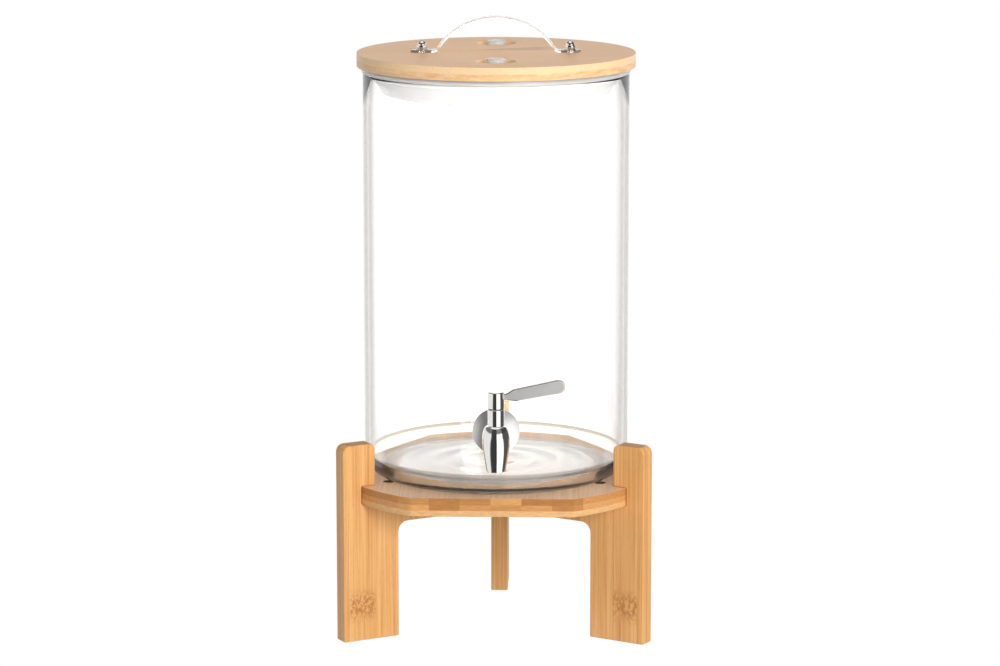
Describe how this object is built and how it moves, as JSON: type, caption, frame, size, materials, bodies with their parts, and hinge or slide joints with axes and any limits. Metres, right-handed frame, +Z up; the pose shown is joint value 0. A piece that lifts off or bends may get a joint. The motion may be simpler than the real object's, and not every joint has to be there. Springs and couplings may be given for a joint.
{
  "type": "countertop water dispenser",
  "caption": "Clear glass cylinder jar with a lever tap and a bamboo lid with a strap handle, standing on a round-edged bamboo platform with plank legs.",
  "frame": {"origin": "on the jar's vertical axis at the height of the counter that the legs stand on", "axes": "+Z up along the jar's axis, -Y towards the front where the tap is, +X to the right as seen from the front"},
  "size_m": [0.2375, 0.2773, 0.465],
  "materials": {
    "bamboo_board": "satin oiled",
    "bamboo_leg": "satin oiled",
    "bamboo_lid": "satin oiled",
    "jar_glass": "clear",
    "polished_steel": "polished",
    "plain_steel": "machined",
    "clear_silicone": "translucent matt",
    "white_silicone": "matt",
    "black_rubber": "matt",
    "clear_plastic": "clear gloss"
  },
  "bodies": {
    "stand": {"platform": "bamboo_board", "leg_left": "bamboo_leg", "leg_right": "bamboo_leg", "leg_rear": "bamboo_leg", "leg_screws": "plain_steel"},
    "jar": {"glass_jar": "jar_glass", "tap_body": "polished_steel", "tap_rosette": "polished_steel", "tap_outer_gasket": "white_silicone", "tap_inner_gasket": "white_silicone", "tap_washer": "plain_steel", "tap_lock_nut": "plain_steel", "hub_washer": "black_rubber"},
    "lever": {"tap_lever": "polished_steel", "valve_plug": "plain_steel", "plug_o_rings": "black_rubber", "plug_clip": "plain_steel", "lever_set_screw": "plain_steel"},
    "lid": {"lid_board": "bamboo_lid", "lid_seal": "clear_silicone", "handle_strap": "clear_plastic", "handle_bolts": "plain_steel", "bolt_washers": "plain_steel", "nut_washers": "polished_steel", "cap_nuts": "polished_steel"},
    "stopper_front": {"stopper_front": "clear_silicone"},
    "stopper_rear": {"stopper_rear": "clear_silicone"}
  },
  "joints": [
    {"name": "jar_lift", "type": "slide", "parent": "stand", "child": "jar", "axis": [0, 0, 1], "range_m": [0, 0.06]},
    {"name": "lever_turn", "type": "hinge", "parent": "jar", "child": "lever", "pos_m": [0, -0.134, 0.1705], "axis": [0, 0, -1], "range_deg": [0, 90]},
    {"name": "lid_lift", "type": "slide", "parent": "jar", "child": "lid", "axis": [0, 0, 1], "range_m": [0, 0.06]},
    {"name": "stopper_front_lift", "type": "slide", "parent": "lid", "child": "stopper_front", "axis": [0, 0, 1], "range_m": [0, 0.025]},
    {"name": "stopper_rear_lift", "type": "slide", "parent": "lid", "child": "stopper_rear", "axis": [0, 0, 1], "range_m": [0, 0.025]}
  ]
}
